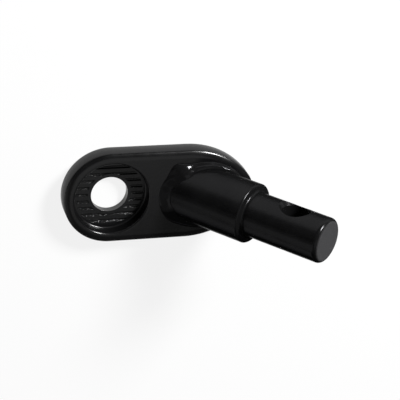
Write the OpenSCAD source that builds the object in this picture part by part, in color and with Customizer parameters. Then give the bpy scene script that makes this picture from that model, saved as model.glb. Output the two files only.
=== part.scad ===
// Bolt-on hitch arm for a bike trailer.
// A thick steel plate goes on the rear axle, under the axle nut, and carries a leaning post.
// Origin: centre of the axle hole, on the plate's back face.
// +X runs from the axle hole to the post, +Z points from the back face to the post's side.

/* [Axle plate] */
// Width of the plate across its straight sides
plate_w = 33.2; // [31:0.2:40]
// Thickness of the plate
plate_t = 7; // [6:0.1:10]
// Radius of the shoulders where the sides run in towards the tip
shoulder_arc_r = 28.5; // [22:0.5:40]
// Radius of the tip under the post
tip_r = 10.5; // [9:0.5:13]
// Flat land between the nut seat and the post's foot
seat_land = 5.3; // [5:0.1:9]
// Flat land between the post's foot and the tip of the plate
tip_land = 5.3; // [4.5:0.1:8]
// Round on the front edge of the plate
front_edge_r = 1.2; // [0.6:0.1:1.5]
// Round on the back edge of the plate
back_edge_r = 0.2; // [0.1:0.1:1]

/* [Axle hole and nut seat] */
// Diameter of the axle hole
axle_hole_d = 13; // [10:0.1:15]
// Diameter of the round seat for the axle nut
seat_d = 26.2; // [24:0.1:27]
// Thickness of the plate that is left under the nut seat
web_t = 2.7; // [2:0.1:4]
// Round on the lip of the seat
seat_lip_r = 0.6; // [0.2:0.1:0.8]
// Fillet between the floor and the wall of the seat
seat_floor_r = 0.5; // [0.2:0.1:1]

/* [Coined grooves in the seat] */
// Distance from one groove to the next
groove_pitch = 2.54; // [2.2:0.02:3]
// Width of a groove at the top
groove_w = 1.1; // [0.6:0.1:1.4]
// Width of a groove at the bottom
groove_floor_w = 0.3; // [0.2:0.1:0.5]
// Depth of a groove below the seat's floor
groove_depth = 0.45; // [0.3:0.05:0.9]
// Plain ring between the groove ends and the seat's wall
groove_wall_gap = 1.2; // [0.8:0.1:2]
// Plain ring between the groove ends and the axle hole
groove_hole_gap = 1.2; // [0.8:0.1:1.8]

/* [Post] */
// Lean of the post away from the plate's normal, towards the tip, in degrees
lean_angle = 39; // [25:1:42]
// Length of the collar along its axis, from the plate's front face to the shoulder
collar_len = 21.5; // [19:0.5:30]
// Width of the shoulder between the collar and the pin
shoulder_w = 2.65; // [2:0.05:3.5]
// Round on the collar's edge at the shoulder
collar_edge_r = 0.7; // [0.3:0.1:0.9]
// Diameter of the pin that the coupler goes on
pin_d = 15.9; // [14:0.1:17.5]
// Length of the pin from the shoulder to its end
pin_len = 29.5; // [27:0.5:40]
// Round on the pin's end
pin_end_r = 1.5; // [0.5:0.1:2.5]
// Fillet between the pin and the shoulder
pin_root_r = 0.8; // [0.3:0.1:0.9]

/* [Cross hole for the lock pin] */
// Diameter of the cross hole
cross_d = 9; // [6:0.1:10]
// Distance from the pin's end to the middle of the cross hole
cross_from_end = 13.5; // [11:0.5:16]
// Width of the countersink round each mouth of the cross hole
cross_sink_w = 1.45; // [0.5:0.05:1.8]

/* [Weld bead] */
// Leg of the bead along the plate
weld_plate_leg = 2.1; // [1.5:0.1:2.4]
// Leg of the bead along the collar
weld_post_leg = 2.7; // [1.5:0.1:4]
// Depth of the seam where the second pass of the bead laps over the first
weld_lap_depth = 0.35; // [0:0.05:0.5]
// Height of the ripples along the bead
weld_ripple = 0.02; // [0:0.01:0.1]
// Number of ripples round the post
weld_ripples = 30; // [20:1:34]

/* [Hidden] */
$fn = 96;
edge_segments = 28;
overrun = 1;
half_w = plate_w / 2;
seat_r = seat_d / 2;
seat_depth = plate_t - web_t;
pin_r = pin_d / 2;
collar_r = pin_r + shoulder_w;
// The foot is the ellipse in which the collar meets the plate.
foot_reach = collar_r / cos(lean_angle);
foot_drop = collar_r * tan(lean_angle);
post_x = seat_r + seat_land + foot_reach;
tip_x = post_x + foot_reach + tip_land;
// Centres of the arcs of the plate's tip end, each tangent to the next.
tip_centre_x = tip_x - tip_r;
shoulder_rise = shoulder_arc_r - half_w;
shoulder_run = sqrt(pow(shoulder_arc_r - tip_r, 2) - pow(shoulder_rise, 2));
shoulder_centre_x = tip_centre_x - shoulder_run;
tip_angle = atan2(shoulder_rise, shoulder_run);
// Ring of the seat's floor that holds the grooves.
groove_outer_r = seat_r - groove_wall_gap;
groove_inner_r = axle_hole_d / 2 + groove_hole_gap;
groove_rows = floor((groove_outer_r - groove_w) / groove_pitch);
// The bead is swept in short steps. Its flat facets clear the collar's round by the fit.
weld_steps = 144;
weld_rise_steps = 9;
weld_fit = 0.01;
weld_collar_r = collar_r / cos(180 / weld_steps) + weld_fit;
weld_ring_points = weld_rise_steps + 2;
// The bead's face is one curve from toe to toe, drawn towards two inner points that are given
// in shares of the plate leg and of the post leg. The full face rounds out over the corner.
// The hollow face runs smoothly up the collar, on the side that the post leans away from.
weld_full_shares = [[0.97, 0.45], [0.5, 0.98]];
weld_hollow_shares = [[0.86, 0.3], [0.15, 0.5]];
weld_hollow_angle = -177;
weld_hollow_spread = 38;
// The lap seam: angle round the post in degrees and share of the way from the plate's toe.
weld_lap_shares = [[60, 0.52], [107, 0.48], [118, 0.6], [128, 0.57], [137, 0.4], [148, 0]];
// Share of its depth that the seam has: it dies away at both ends.
weld_lap_depth_shares = [[25, 0], [55, 1], [143, 1], [156, 0]];
weld_lap_width_share = 0.13;
weld_lap_ridge_share = 0.6;
// Where the bead swells or thins: angle round the post in degrees, spread in degrees and share of the leg.
weld_plate_swell_shares = [[127, 13, 1], [180, 16, -0.12], [-137, 12, 0.22]];
weld_post_swell_shares = [[130, 13, 0.5], [163, 8, -0.2], [-156, 12, 0.28], [60, 14, 0.15]];

// Corner to take off a section so that it ends in an arc of radius r, centred on the origin.
module outer_corner(r) {
    difference() {
        square(r + overrun);
        circle(r);
    }
}

// Half section of the plate: x is the reach from the centre line or arc centre, y is the height.
module edge_section(reach) {
    difference() {
        square([reach, plate_t]);
        translate([reach - front_edge_r, plate_t - front_edge_r])
            outer_corner(front_edge_r);
        translate([reach - back_edge_r, back_edge_r])
            mirror([0, 1])
                outer_corner(back_edge_r);
    }
}

// One arc of the plate's outline, as the slice that its section sweeps round the arc's centre.
module edge_sector(reach, from_angle, to_angle) {
    rotate([0, 0, from_angle])
        rotate_extrude(angle = to_angle - from_angle)
            edge_section(reach, $fn = edge_segments);
}

// The outline is one convex run of tangent arcs, so the blank is the hull of its four arcs.
module plate_blank() {
    hull() {
        edge_sector(half_w, 90, 270);
        translate([shoulder_centre_x, -shoulder_rise, 0])
            edge_sector(shoulder_arc_r, tip_angle, 90);
        translate([shoulder_centre_x, shoulder_rise, 0])
            edge_sector(shoulder_arc_r, -90, -tip_angle);
        translate([tip_centre_x, 0, 0])
            edge_sector(tip_r, -tip_angle, tip_angle);
    }
}

// Half section of the seat's pocket, with its floor at y = 0.
module seat_section() {
    difference() {
        square([seat_r, seat_depth + overrun]);
        translate([seat_r - seat_floor_r, seat_floor_r])
            mirror([0, 1])
                outer_corner(seat_floor_r);
    }
    translate([seat_r - seat_lip_r, seat_depth - seat_lip_r])
        difference() {
            square([2 * seat_lip_r, seat_lip_r + overrun]);
            translate([2 * seat_lip_r, 0])
                circle(seat_lip_r);
        }
}

// One straight groove along X, with sloping sides.
module groove() {
    rotate([90, 0, 90])
        linear_extrude(height = seat_d, center = true)
            polygon([
                [-groove_w / 2, overrun],
                [-groove_w / 2, 0],
                [-groove_floor_w / 2, -groove_depth],
                [groove_floor_w / 2, -groove_depth],
                [groove_w / 2, 0],
                [groove_w / 2, overrun]
            ]);
}

// The grooves end on two circles, clear of the seat's wall and of the axle hole.
module grooves() {
    intersection() {
        for (row = [-groove_rows : groove_rows])
            translate([0, row * groove_pitch, 0])
                groove();
        translate([0, 0, -groove_depth - overrun])
            difference() {
                cylinder(h = groove_depth + 2 * overrun, r = groove_outer_r);
                translate([0, 0, -overrun])
                    cylinder(h = groove_depth + 4 * overrun, r = groove_inner_r);
            }
    }
}

module axle_plate() {
    color("dimgray")
        difference() {
            plate_blank();
            translate([0, 0, web_t])
                rotate_extrude()
                    seat_section();
            translate([0, 0, web_t])
                grooves();
            translate([0, 0, -overrun])
                cylinder(h = web_t + 2 * overrun, d = axle_hole_d);
        }
}

// Half section of the turned bar, with y along its axis and y = 0 at the plate's front face.
module post_section() {
    difference() {
        translate([0, -foot_drop - overrun])
            square([collar_r, foot_drop + overrun + collar_len]);
        translate([collar_r - collar_edge_r, collar_len - collar_edge_r])
            outer_corner(collar_edge_r);
    }
    difference() {
        square([pin_r, collar_len + pin_len]);
        translate([pin_r - pin_end_r, collar_len + pin_len - pin_end_r])
            outer_corner(pin_end_r);
    }
    translate([pin_r - pin_root_r, collar_len - pin_root_r])
        difference() {
            square(2 * pin_root_r);
            translate([2 * pin_root_r, 2 * pin_root_r])
                circle(pin_root_r);
        }
}

// Cutter for one mouth of the cross hole, widening along +Z to its full size at the pin's crown.
module cross_mouth() {
    translate([0, 0, pin_r - cross_sink_w])
        cylinder(
            h = cross_sink_w + overrun,
            r1 = cross_d / 2,
            r2 = cross_d / 2 + cross_sink_w + overrun
        );
}

module cross_hole() {
    rotate([90, 0, 0]) {
        cylinder(h = pin_d + 2 * overrun, d = cross_d, center = true);
        cross_mouth();
        mirror([0, 0, 1])
            cross_mouth();
    }
}

module hitch_post() {
    color("dimgray")
        difference() {
            translate([post_x, 0, plate_t])
                rotate([0, lean_angle, 0])
                    difference() {
                        rotate_extrude()
                            post_section();
                        translate([0, 0, collar_len + pin_len - cross_from_end])
                            cross_hole();
                    }
            foot_cut();
        }
}

// Everything below the plate's front face, where the bar is cut to sit on it.
module foot_cut() {
    cut_reach = foot_reach + foot_drop + 2 * overrun;
    translate([post_x - cut_reach, -cut_reach, plate_t - cut_reach])
        cube([2 * cut_reach, 2 * cut_reach, cut_reach]);
}

// Bell curve that is 1 at the angle given and dies away over the spread, both in degrees.
function bell(angle, at, spread) = exp(-pow(angle_gap(angle, at) / spread, 2));
function angle_gap(a, b) = (a - b + 540) % 360 - 180;
function swell(angle, shares, i = 0) =
    i == len(shares) ? 1 : bell(angle, shares[i][0], shares[i][1]) * shares[i][2] + swell(angle, shares, i + 1);

// Directions of the leaning post: along its axis and straight out of it at an angle round it.
function post_axis() = [sin(lean_angle), 0, cos(lean_angle)];
function post_out(angle) = [cos(angle) * cos(lean_angle), sin(angle), -cos(angle) * sin(lean_angle)];
// Direction in the plate's face that leads straight away from the foot's ellipse.
function foot_out(angle) =
    let (v = [cos(angle) * cos(lean_angle), sin(angle), 0])
    v / norm(v);
// Point of the foot's ellipse at an angle round the post.
function foot_point(angle) =
    [post_x, 0, plate_t]
    + weld_collar_r * post_out(angle)
    + weld_collar_r * cos(angle) * tan(lean_angle) * post_axis();

// Shares of the two legs at a point u of the face, from 0 at the plate's toe to 1 at the collar's toe.
function face_shares(u, inner) =
    pow(1 - u, 3) * [1, 0]
    + 3 * pow(1 - u, 2) * u * inner[0]
    + 3 * (1 - u) * pow(u, 2) * inner[1]
    + pow(u, 3) * [0, 1];
// Rise of the face over that curve: ripples all round, and the valley and ridge of the lap seam.
function face_rise(u, angle) =
    let (
        x = (u - lookup(angle, weld_lap_shares)) / weld_lap_width_share,
        seam = weld_lap_ridge_share * exp(-pow(x - 1.4, 2)) - exp(-pow(x, 2)),
        depth = weld_lap_depth * lookup(angle, weld_lap_depth_shares)
    )
    sqrt(sin(180 * u)) * (weld_ripple * cos(angle * weld_ripples) + depth * seam);

// One section of the bead: the corner, then the face from the plate's toe up to the collar's toe.
function weld_ring(angle) =
    let (
        corner = foot_point(angle),
        plate_leg = weld_plate_leg * swell(angle, weld_plate_swell_shares) * foot_out(angle),
        post_leg = weld_post_leg * swell(angle, weld_post_swell_shares) * post_axis(),
        outward = (plate_leg + post_leg) / norm(plate_leg + post_leg),
        hollow = bell(angle, weld_hollow_angle, weld_hollow_spread),
        inner = weld_full_shares * (1 - hollow) + weld_hollow_shares * hollow
    )
    concat(
        [corner],
        [for (i = [0 : weld_rise_steps])
            let (
                u = i / weld_rise_steps,
                share = face_shares(u, inner)
            )
            corner + share[0] * plate_leg + share[1] * post_leg + face_rise(u, angle) * outward]
    );

module weld_bead() {
    rings = [for (step = [0 : weld_steps - 1]) weld_ring(360 * step / weld_steps)];
    points = [for (ring = rings) for (point = ring) point];
    m = weld_ring_points;
    count = m * weld_steps;
    color("gray")
        polyhedron(
            points = points,
            faces = [
                for (step = [0 : weld_steps - 1])
                    for (i = [0 : m - 1])
                        let (
                            a = step * m + i,
                            b = step * m + (i + 1) % m,
                            c = (a + m) % count,
                            d = (b + m) % count
                        )
                        each [[a, b, d], [a, d, c]]
            ]
        );
}

axle_plate();
hitch_post();
weld_bead();
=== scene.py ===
"""Studio, camera and black paint for the bike trailer hitch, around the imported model."""

import math

import bmesh
import bpy
from mathutils import Matrix, Vector


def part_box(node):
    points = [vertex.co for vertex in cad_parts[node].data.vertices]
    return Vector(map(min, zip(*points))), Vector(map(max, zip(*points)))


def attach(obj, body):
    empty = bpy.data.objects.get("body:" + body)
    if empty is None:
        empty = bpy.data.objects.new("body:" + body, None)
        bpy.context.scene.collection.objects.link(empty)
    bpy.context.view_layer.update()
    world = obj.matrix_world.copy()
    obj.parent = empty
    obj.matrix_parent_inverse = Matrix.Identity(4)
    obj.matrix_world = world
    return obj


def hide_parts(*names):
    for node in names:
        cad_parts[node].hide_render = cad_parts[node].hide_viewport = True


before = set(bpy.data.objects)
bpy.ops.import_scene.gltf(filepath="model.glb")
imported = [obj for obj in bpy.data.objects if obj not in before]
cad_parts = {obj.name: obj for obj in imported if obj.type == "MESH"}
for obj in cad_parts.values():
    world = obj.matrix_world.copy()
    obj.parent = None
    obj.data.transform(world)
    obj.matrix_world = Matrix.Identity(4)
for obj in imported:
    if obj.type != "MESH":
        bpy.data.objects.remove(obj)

MM = 0.001
WORLD_UP = Vector((0.0, 0.0, 1.0))

# Camera: fitted to the outline of the plate, the post and the nut seat
CAMERA_PLACE = Vector((-114.41, 226.83, 454.18)) * MM
CAMERA_AIM = Vector((33.79, -5.67, 0.0)) * MM
CAMERA_ROLL = math.radians(-148.10)
CAMERA_LENS = 135.0
CAMERA_SENSOR = 36.0
CAMERA_CLIP_START = 0.01

# Softboxes: azimuth, elevation (degrees), distance, side (metres), power (watts)
OBJECT_MIDDLE = Vector((30.0, 0.0, 15.0)) * MM
SOFTBOXES = {
    "key": (47, 33, 0.70, 0.18, 9.5),
    "overhead": (-60, 78, 1.00, 0.65, 0.50),
    "left": (-150, 20, 0.90, 0.50, 0.35),
    "left_wide": (-150, 24, 1.00, 1.10, 0.65),
}
ROOM_GREY = (0.06, 0.06, 0.06, 1.0)

# Floor: pale, and white to the eye and in the paint's reflections
FLOOR_RADIUS = 6.0
FLOOR_CORNERS = 96
FLOOR_GAP = 0.02 * MM
FLOOR_COLOUR = (0.86, 0.86, 0.86, 1.0)
FLOOR_GLOW = 0.85

# Black paint: its deep and thin places, roughness range, gloss, share of metal flake with the tint
# of its grazing reflection, and orange peel (lumps per metre and their height in millimetres)
PLATE_PAINT = {
    "deep": (0.0028, 0.0028, 0.0030, 1.0),
    "thin": (0.0045, 0.0045, 0.0048, 1.0),
    "rough": (0.17, 0.24),
    "gloss": 0.5,
    "flake": 0.0,
    "grazing": 1.0,
    "lumps": 900.0,
    "lump_height": 0.010,
    "seed": 1.0,
}
POST_PAINT = {
    "deep": (0.0150, 0.0150, 0.0156, 1.0),
    "thin": (0.0215, 0.0215, 0.0222, 1.0),
    "rough": (0.17, 0.24),
    "gloss": 0.0,
    "flake": 0.75,
    "grazing": 0.35,
    "lumps": 900.0,
    "lump_height": 0.006,
    "seed": 2.0,
}
WELD_PAINT = {
    "deep": (0.0170, 0.0170, 0.0176, 1.0),
    "thin": (0.0240, 0.0240, 0.0248, 1.0),
    "rough": (0.10, 0.14),
    "gloss": 0.0,
    "flake": 0.75,
    "grazing": 0.35,
    "lumps": 700.0,
    "lump_height": 0.034,
    "seed": 3.0,
}
PEEL_DETAIL = 2.0

# Clouds: slow changes of the paint's colour and gloss, and the span of the noise that they use
CLOUD_SCALE = 160.0
CLOUD_DETAIL = 4.0
CLOUD_SPAN = (0.3, 0.7)

# Grain of the paint, and the softened look of its edges (millimetres)
GRAIN_SCALE = 3200.0
GRAIN_DETAIL = 3.0
GRAIN_HEIGHT = 0.004
EDGE_RADIUS = 0.15
EDGE_SAMPLES = 6

# Seat floor: ragged paint on the walls of the coined grooves, between these heights (millimetres)
RAGGED_Z = (2.26, 2.66)
RAGGED_SCALE = 1800.0
RAGGED_DETAIL = 2.0
RAGGED_HEIGHT = 0.160

# Pin's end: painted reflection, a lighter grey base colour on the flat end standing in for its
# reflection of the bright floor, fading in over these depths (millimetres)
POST_LEAN = math.radians(39)
END_REFLECTION_GREY = (0.078, 0.078, 0.080, 1.0)
END_REFLECTION_FADE = (0.25, 0.03)

# Bead: points closer than this (millimetres) are one, and sharper corners stay sharp
BEAD_WELD_DISTANCE = 0.001
BEAD_SHARP = math.radians(55)

# Plate: outline and front round of the solid, and the rolled edge that takes the round's place.
# Its corner turns by ROLL_CORNER_TURN, then a wider round runs on to the face (millimetres).
PLATE_T = 7.0
PLATE_HALF_W = 16.6
SHOULDER_ARC_R = 28.5
TIP_R = 10.5
SOLID_ROUND_R = 1.2
ROUND_TOLERANCE = 0.004
ROLL_CORNER_R = 0.65
ROLL_CORNER_TURN = math.radians(61)
ROLL_REACH = 2.5

# Turn of the rolled edge at each step of the solid's round, and the rise of its shading normals.
# The normals start raised, so that the plain side below the edge reads as slightly crowned.
ROLL_TURNS = [math.radians(a) for a in (0, 20, 41, 61, 68, 75, 82, 90)]
ROLL_SHADES = [math.radians(a) for a in (33, 40, 50, 61, 68, 75, 82, 90)]


def from_angles(azimuth, elevation):
    """Unit vector at an azimuth from +X towards +Y and an elevation above the floor."""
    level = math.cos(elevation)
    return Vector((level * math.cos(azimuth), level * math.sin(azimuth), math.sin(elevation)))


def axes_towards(place, aim, roll=0.0):
    """Rotation whose -Z looks from place to aim, turned about that line by roll."""
    back = (place - aim).normalized()
    level_up = (WORLD_UP - back * WORLD_UP.dot(back)).normalized()
    level_right = level_up.cross(back)
    up = level_up * math.cos(roll) + level_right * math.sin(roll)
    return Matrix((up.cross(back), up, back)).transposed().to_4x4()


def add_object(name, data):
    """New object in the scene for a mesh, a lamp or a camera."""
    added = bpy.data.objects.new(name, data)
    bpy.context.scene.collection.objects.link(added)
    return added


def add_camera():
    data = bpy.data.cameras.new("camera")
    data.lens = CAMERA_LENS
    data.sensor_width = CAMERA_SENSOR
    data.clip_start = CAMERA_CLIP_START
    camera = add_object("camera", data)
    turn = axes_towards(CAMERA_PLACE, CAMERA_AIM, CAMERA_ROLL)
    camera.matrix_world = Matrix.Translation(CAMERA_PLACE) @ turn
    bpy.context.scene.camera = camera


def add_softbox(name, azimuth, elevation, distance, side, watts):
    data = bpy.data.lights.new(name, "AREA")
    data.shape = "SQUARE"
    data.size = side
    data.energy = watts
    lamp = add_object(name, data)
    place = OBJECT_MIDDLE + from_angles(math.radians(azimuth), math.radians(elevation)) * distance
    lamp.matrix_world = Matrix.Translation(place) @ axes_towards(place, OBJECT_MIDDLE)


def add_room():
    world = bpy.data.worlds.new("room")
    world.use_nodes = True
    world.node_tree.nodes["Background"].inputs["Color"].default_value = ROOM_GREY
    bpy.context.scene.world = world


class Nodes:
    """Short calls for building one material's node tree."""

    def __init__(self, name):
        self.material = bpy.data.materials.new(name)
        self.material.use_nodes = True
        self.tree = self.material.node_tree
        self.tree.nodes.clear()

    def add(self, kind, **settings):
        node = self.tree.nodes.new(kind)
        for key, value in settings.items():
            setattr(node, key, value)
        return node

    def link(self, out_socket, in_socket):
        self.tree.links.new(out_socket, in_socket)

    def value(self, node, socket, number):
        node.inputs[socket].default_value = number

    def noise(self, place, scale, detail):
        """Noise of a scale in lumps per metre, at the places of a mapping node."""
        texture = self.add("ShaderNodeTexNoise")
        self.value(texture, "Scale", scale)
        self.value(texture, "Detail", detail)
        self.link(place.outputs[0], texture.inputs["Vector"])
        return texture

    def relief(self, texture, height, under):
        """Bump of a height in millimetres from a noise, over the normal of another node."""
        bump = self.add("ShaderNodeBump")
        self.value(bump, "Strength", 1.0)
        self.value(bump, "Distance", height * MM)
        self.link(texture.outputs["Fac"], bump.inputs["Height"])
        self.link(under.outputs["Normal"], bump.inputs["Normal"])
        return bump


def floor_material():
    """Pale paper that shows white to the camera and in reflections, and keeps the shadow."""
    n = Nodes("floor_white")
    output = n.add("ShaderNodeOutputMaterial")
    paper = n.add("ShaderNodeBsdfDiffuse")
    n.value(paper, "Color", FLOOR_COLOUR)
    glow = n.add("ShaderNodeEmission")
    rays = n.add("ShaderNodeLightPath")
    seen = n.add("ShaderNodeMath", operation="MAXIMUM")
    through = n.add("ShaderNodeMath", operation="MAXIMUM")
    share = n.add("ShaderNodeMath", operation="MULTIPLY")
    n.value(share, 1, FLOOR_GLOW)
    mix = n.add("ShaderNodeMixShader")
    n.link(rays.outputs["Is Camera Ray"], seen.inputs[0])
    n.link(rays.outputs["Is Glossy Ray"], seen.inputs[1])
    n.link(seen.outputs[0], through.inputs[0])
    n.link(rays.outputs["Is Transmission Ray"], through.inputs[1])
    n.link(through.outputs[0], share.inputs[0])
    n.link(share.outputs[0], mix.inputs[0])
    n.link(paper.outputs[0], mix.inputs[1])
    n.link(glow.outputs[0], mix.inputs[2])
    n.link(mix.outputs[0], output.inputs["Surface"])
    return n.material


def add_floor():
    angles = [2 * math.pi * i / FLOOR_CORNERS for i in range(FLOOR_CORNERS)]
    corners = [(FLOOR_RADIUS * math.cos(a), FLOOR_RADIUS * math.sin(a), -FLOOR_GAP) for a in angles]
    mesh = bpy.data.meshes.new("floor")
    mesh.from_pydata(corners, [], [tuple(range(FLOOR_CORNERS))])
    mesh.materials.append(floor_material())
    floor = add_object("floor", mesh)


def black_paint(name, deep, thin, rough, gloss, flake, grazing, lumps, lump_height, seed):
    """Black paint: slight changes of colour and gloss, orange peel, grain and softened edges.

    Returns the node tree, and its paint, coordinate, place, colour and relief nodes for local changes.
    """
    n = Nodes(name)
    output = n.add("ShaderNodeOutputMaterial")
    paint = n.add("ShaderNodeBsdfPrincipled")
    n.value(paint, "Specular IOR Level", gloss)
    n.value(paint, "Metallic", flake)
    n.value(paint, "Specular Tint", (grazing, grazing, grazing, 1.0))
    n.link(paint.outputs[0], output.inputs["Surface"])
    where = n.add("ShaderNodeTexCoord")
    place = n.add("ShaderNodeMapping")
    n.value(place, "Location", (seed, seed, seed))
    n.link(where.outputs["Object"], place.inputs["Vector"])

    clouds = n.noise(place, CLOUD_SCALE, CLOUD_DETAIL)
    colour = n.add("ShaderNodeMix", data_type="RGBA")
    colour.inputs["A"].default_value = deep
    colour.inputs["B"].default_value = thin
    n.link(clouds.outputs["Fac"], colour.inputs["Factor"])
    n.link(colour.outputs["Result"], paint.inputs["Base Color"])
    roughness = n.add("ShaderNodeMapRange")
    n.value(roughness, "From Min", CLOUD_SPAN[0])
    n.value(roughness, "From Max", CLOUD_SPAN[1])
    n.value(roughness, "To Min", rough[0])
    n.value(roughness, "To Max", rough[1])
    n.link(clouds.outputs["Fac"], roughness.inputs["Value"])
    n.link(roughness.outputs["Result"], paint.inputs["Roughness"])

    edges = n.add("ShaderNodeBevel", samples=EDGE_SAMPLES)
    n.value(edges, "Radius", EDGE_RADIUS * MM)
    coarse = n.relief(n.noise(place, lumps, PEEL_DETAIL), lump_height, edges)
    fine = n.relief(n.noise(place, GRAIN_SCALE, GRAIN_DETAIL), GRAIN_HEIGHT, coarse)
    n.link(fine.outputs["Normal"], paint.inputs["Normal"])
    return n, {"paint": paint, "where": where, "place": place, "colour": colour, "relief": fine}


def plate_material():
    """The plate's paint, ragged on the walls of the nut seat's coined grooves."""
    n, parts = black_paint("paint_plate", **PLATE_PAINT)
    split = n.add("ShaderNodeSeparateXYZ")
    n.link(parts["where"].outputs["Object"], split.inputs[0])
    above = n.add("ShaderNodeMath", operation="GREATER_THAN")
    below = n.add("ShaderNodeMath", operation="LESS_THAN")
    n.value(above, 1, RAGGED_Z[0] * MM)
    n.value(below, 1, RAGGED_Z[1] * MM)
    n.link(split.outputs["Z"], above.inputs[0])
    n.link(split.outputs["Z"], below.inputs[0])
    inside = n.add("ShaderNodeMath", operation="MULTIPLY")
    n.link(above.outputs[0], inside.inputs[0])
    n.link(below.outputs[0], inside.inputs[1])
    drops = n.noise(parts["place"], RAGGED_SCALE, RAGGED_DETAIL)
    ragged = n.relief(drops, RAGGED_HEIGHT, parts["relief"])
    n.link(inside.outputs[0], ragged.inputs["Strength"])
    n.link(ragged.outputs["Normal"], parts["paint"].inputs["Normal"])
    return n.material


def post_material():
    """The post's paint, with a painted reflection: its base colour turns lighter grey on the flat end
    of the pin.
    """
    n, parts = black_paint("paint_post", **POST_PAINT)
    axis = Vector((math.sin(POST_LEAN), 0.0, math.cos(POST_LEAN)))
    end = max(axis.dot(vertex.co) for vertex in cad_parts["hitch_post"].data.vertices)
    along = n.add("ShaderNodeVectorMath", operation="DOT_PRODUCT")
    along.inputs[1].default_value = axis
    n.link(parts["where"].outputs["Object"], along.inputs[0])
    end_reflection = n.add("ShaderNodeMapRange", interpolation_type="SMOOTHSTEP")
    n.value(end_reflection, "From Min", end - END_REFLECTION_FADE[0] * MM)
    n.value(end_reflection, "From Max", end - END_REFLECTION_FADE[1] * MM)
    n.link(along.outputs["Value"], end_reflection.inputs["Value"])
    # Painted reflection: the flat end's base colour is lightened, in place of its reflection of the
    # bright floor
    colour = n.add("ShaderNodeMix", data_type="RGBA")
    colour.inputs["B"].default_value = END_REFLECTION_GREY
    n.link(end_reflection.outputs["Result"], colour.inputs["Factor"])
    n.link(parts["colour"].outputs["Result"], colour.inputs["A"])
    n.link(colour.outputs["Result"], parts["paint"].inputs["Base Color"])
    return n.material


def dress(node, material):
    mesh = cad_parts[node].data
    mesh.materials.clear()
    mesh.materials.append(material)


def outward(x, y, tip_x):
    """Outward direction and depth inside the plate's outline at a point, in millimetres."""
    side = 1.0 if y >= 0 else -1.0
    rise = SHOULDER_ARC_R - PLATE_HALF_W
    tip_centre_x = tip_x - TIP_R
    shoulder_x = tip_centre_x - math.sqrt((SHOULDER_ARC_R - TIP_R) ** 2 - rise ** 2)
    if 0 <= x < shoulder_x:
        return Vector((0.0, side)), PLATE_HALF_W - abs(y)
    if x < 0:
        centre, radius = Vector((0.0, 0.0)), PLATE_HALF_W
    elif (abs(y) + rise) * (tip_centre_x - shoulder_x) > rise * (x - shoulder_x):
        centre, radius = Vector((shoulder_x, -side * rise)), SHOULDER_ARC_R
    else:
        centre, radius = Vector((tip_centre_x, 0.0)), TIP_R
    reach = Vector((x, y)) - centre
    return reach.normalized(), radius - reach.length


def roll_point(turn):
    """Inset from the plate's side and height on the rolled edge, where it has turned by that angle."""
    corner_inset = ROLL_CORNER_R * (1 - math.cos(ROLL_CORNER_TURN))
    slope_r = (ROLL_REACH - corner_inset) / math.cos(ROLL_CORNER_TURN)
    start_z = PLATE_T - slope_r + (slope_r - ROLL_CORNER_R) * math.sin(ROLL_CORNER_TURN)
    if turn <= ROLL_CORNER_TURN:
        return ROLL_CORNER_R * (1 - math.cos(turn)), start_z + ROLL_CORNER_R * math.sin(turn)
    inset = corner_inset + slope_r * (math.cos(ROLL_CORNER_TURN) - math.cos(turn))
    return inset, PLATE_T - slope_r * (1 - math.sin(turn))


def roll_edge(mesh, tip_x):
    """Turn the mesh's front round into the rolled edge, and return its shading normals by vertex."""
    last_step = len(ROLL_TURNS) - 1
    rolled = {}
    for vertex in mesh.vertices:
        x, y, z = vertex.co / MM
        lift = (z - PLATE_T + SOLID_ROUND_R) / SOLID_ROUND_R
        direction, depth = outward(x, y, tip_x)
        if lift < -ROUND_TOLERANCE or depth > SOLID_ROUND_R + ROUND_TOLERANCE:
            continue
        level = math.asin(max(0.0, min(1.0, lift)))
        step = round(level / (math.pi / 2) * last_step)
        inset, height = roll_point(ROLL_TURNS[step])
        across = Vector((x, y)) + direction * (depth - inset)
        vertex.co = Vector((across.x, across.y, height)) * MM
        shade = ROLL_SHADES[step]
        rolled[vertex.index] = (direction * math.cos(shade)).to_3d() + WORLD_UP * math.sin(shade)
    return rolled


def add_plate(material):
    """The axle plate with its front edge rolled over and its side shaded as slightly crowned.

    The rest is the shape of its solid.
    """
    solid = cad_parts["axle_plate"].data
    normals = [Vector(corner.vector) for corner in solid.corner_normals]
    mesh = solid.copy()
    mesh.name = "plate"
    rolled = roll_edge(mesh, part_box("axle_plate")[1][0] / MM)
    for loop in mesh.loops:
        if loop.vertex_index in rolled:
            normals[loop.index] = rolled[loop.vertex_index]
    mesh.normals_split_custom_set(normals)
    mesh.materials.clear()
    mesh.materials.append(material)
    plate = add_object("plate", mesh)
    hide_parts("axle_plate")
    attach(plate, "root")


def add_bead(material):
    """The weld bead, shaded smooth along its run; it has the shape of its solid."""
    shape = bmesh.new()
    shape.from_mesh(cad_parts["weld_bead"].data)
    bmesh.ops.remove_doubles(shape, verts=shape.verts, dist=BEAD_WELD_DISTANCE * MM)
    for face in shape.faces:
        face.smooth = True
        face.material_index = 0
    for edge in shape.edges:
        if len(edge.link_faces) == 2 and edge.calc_face_angle() > BEAD_SHARP:
            edge.smooth = False
    mesh = bpy.data.meshes.new("bead")
    shape.to_mesh(mesh)
    shape.free()
    mesh.materials.append(material)
    bead = add_object("bead", mesh)
    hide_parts("weld_bead")
    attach(bead, "root")


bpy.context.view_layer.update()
bpy.context.scene.view_settings.view_transform = "Standard"
add_camera()
add_room()
for box_name, box in SOFTBOXES.items():
    add_softbox(box_name, *box)
add_floor()
add_plate(plate_material())
dress("hitch_post", post_material())
add_bead(black_paint("paint_weld", **WELD_PAINT)[0].material)
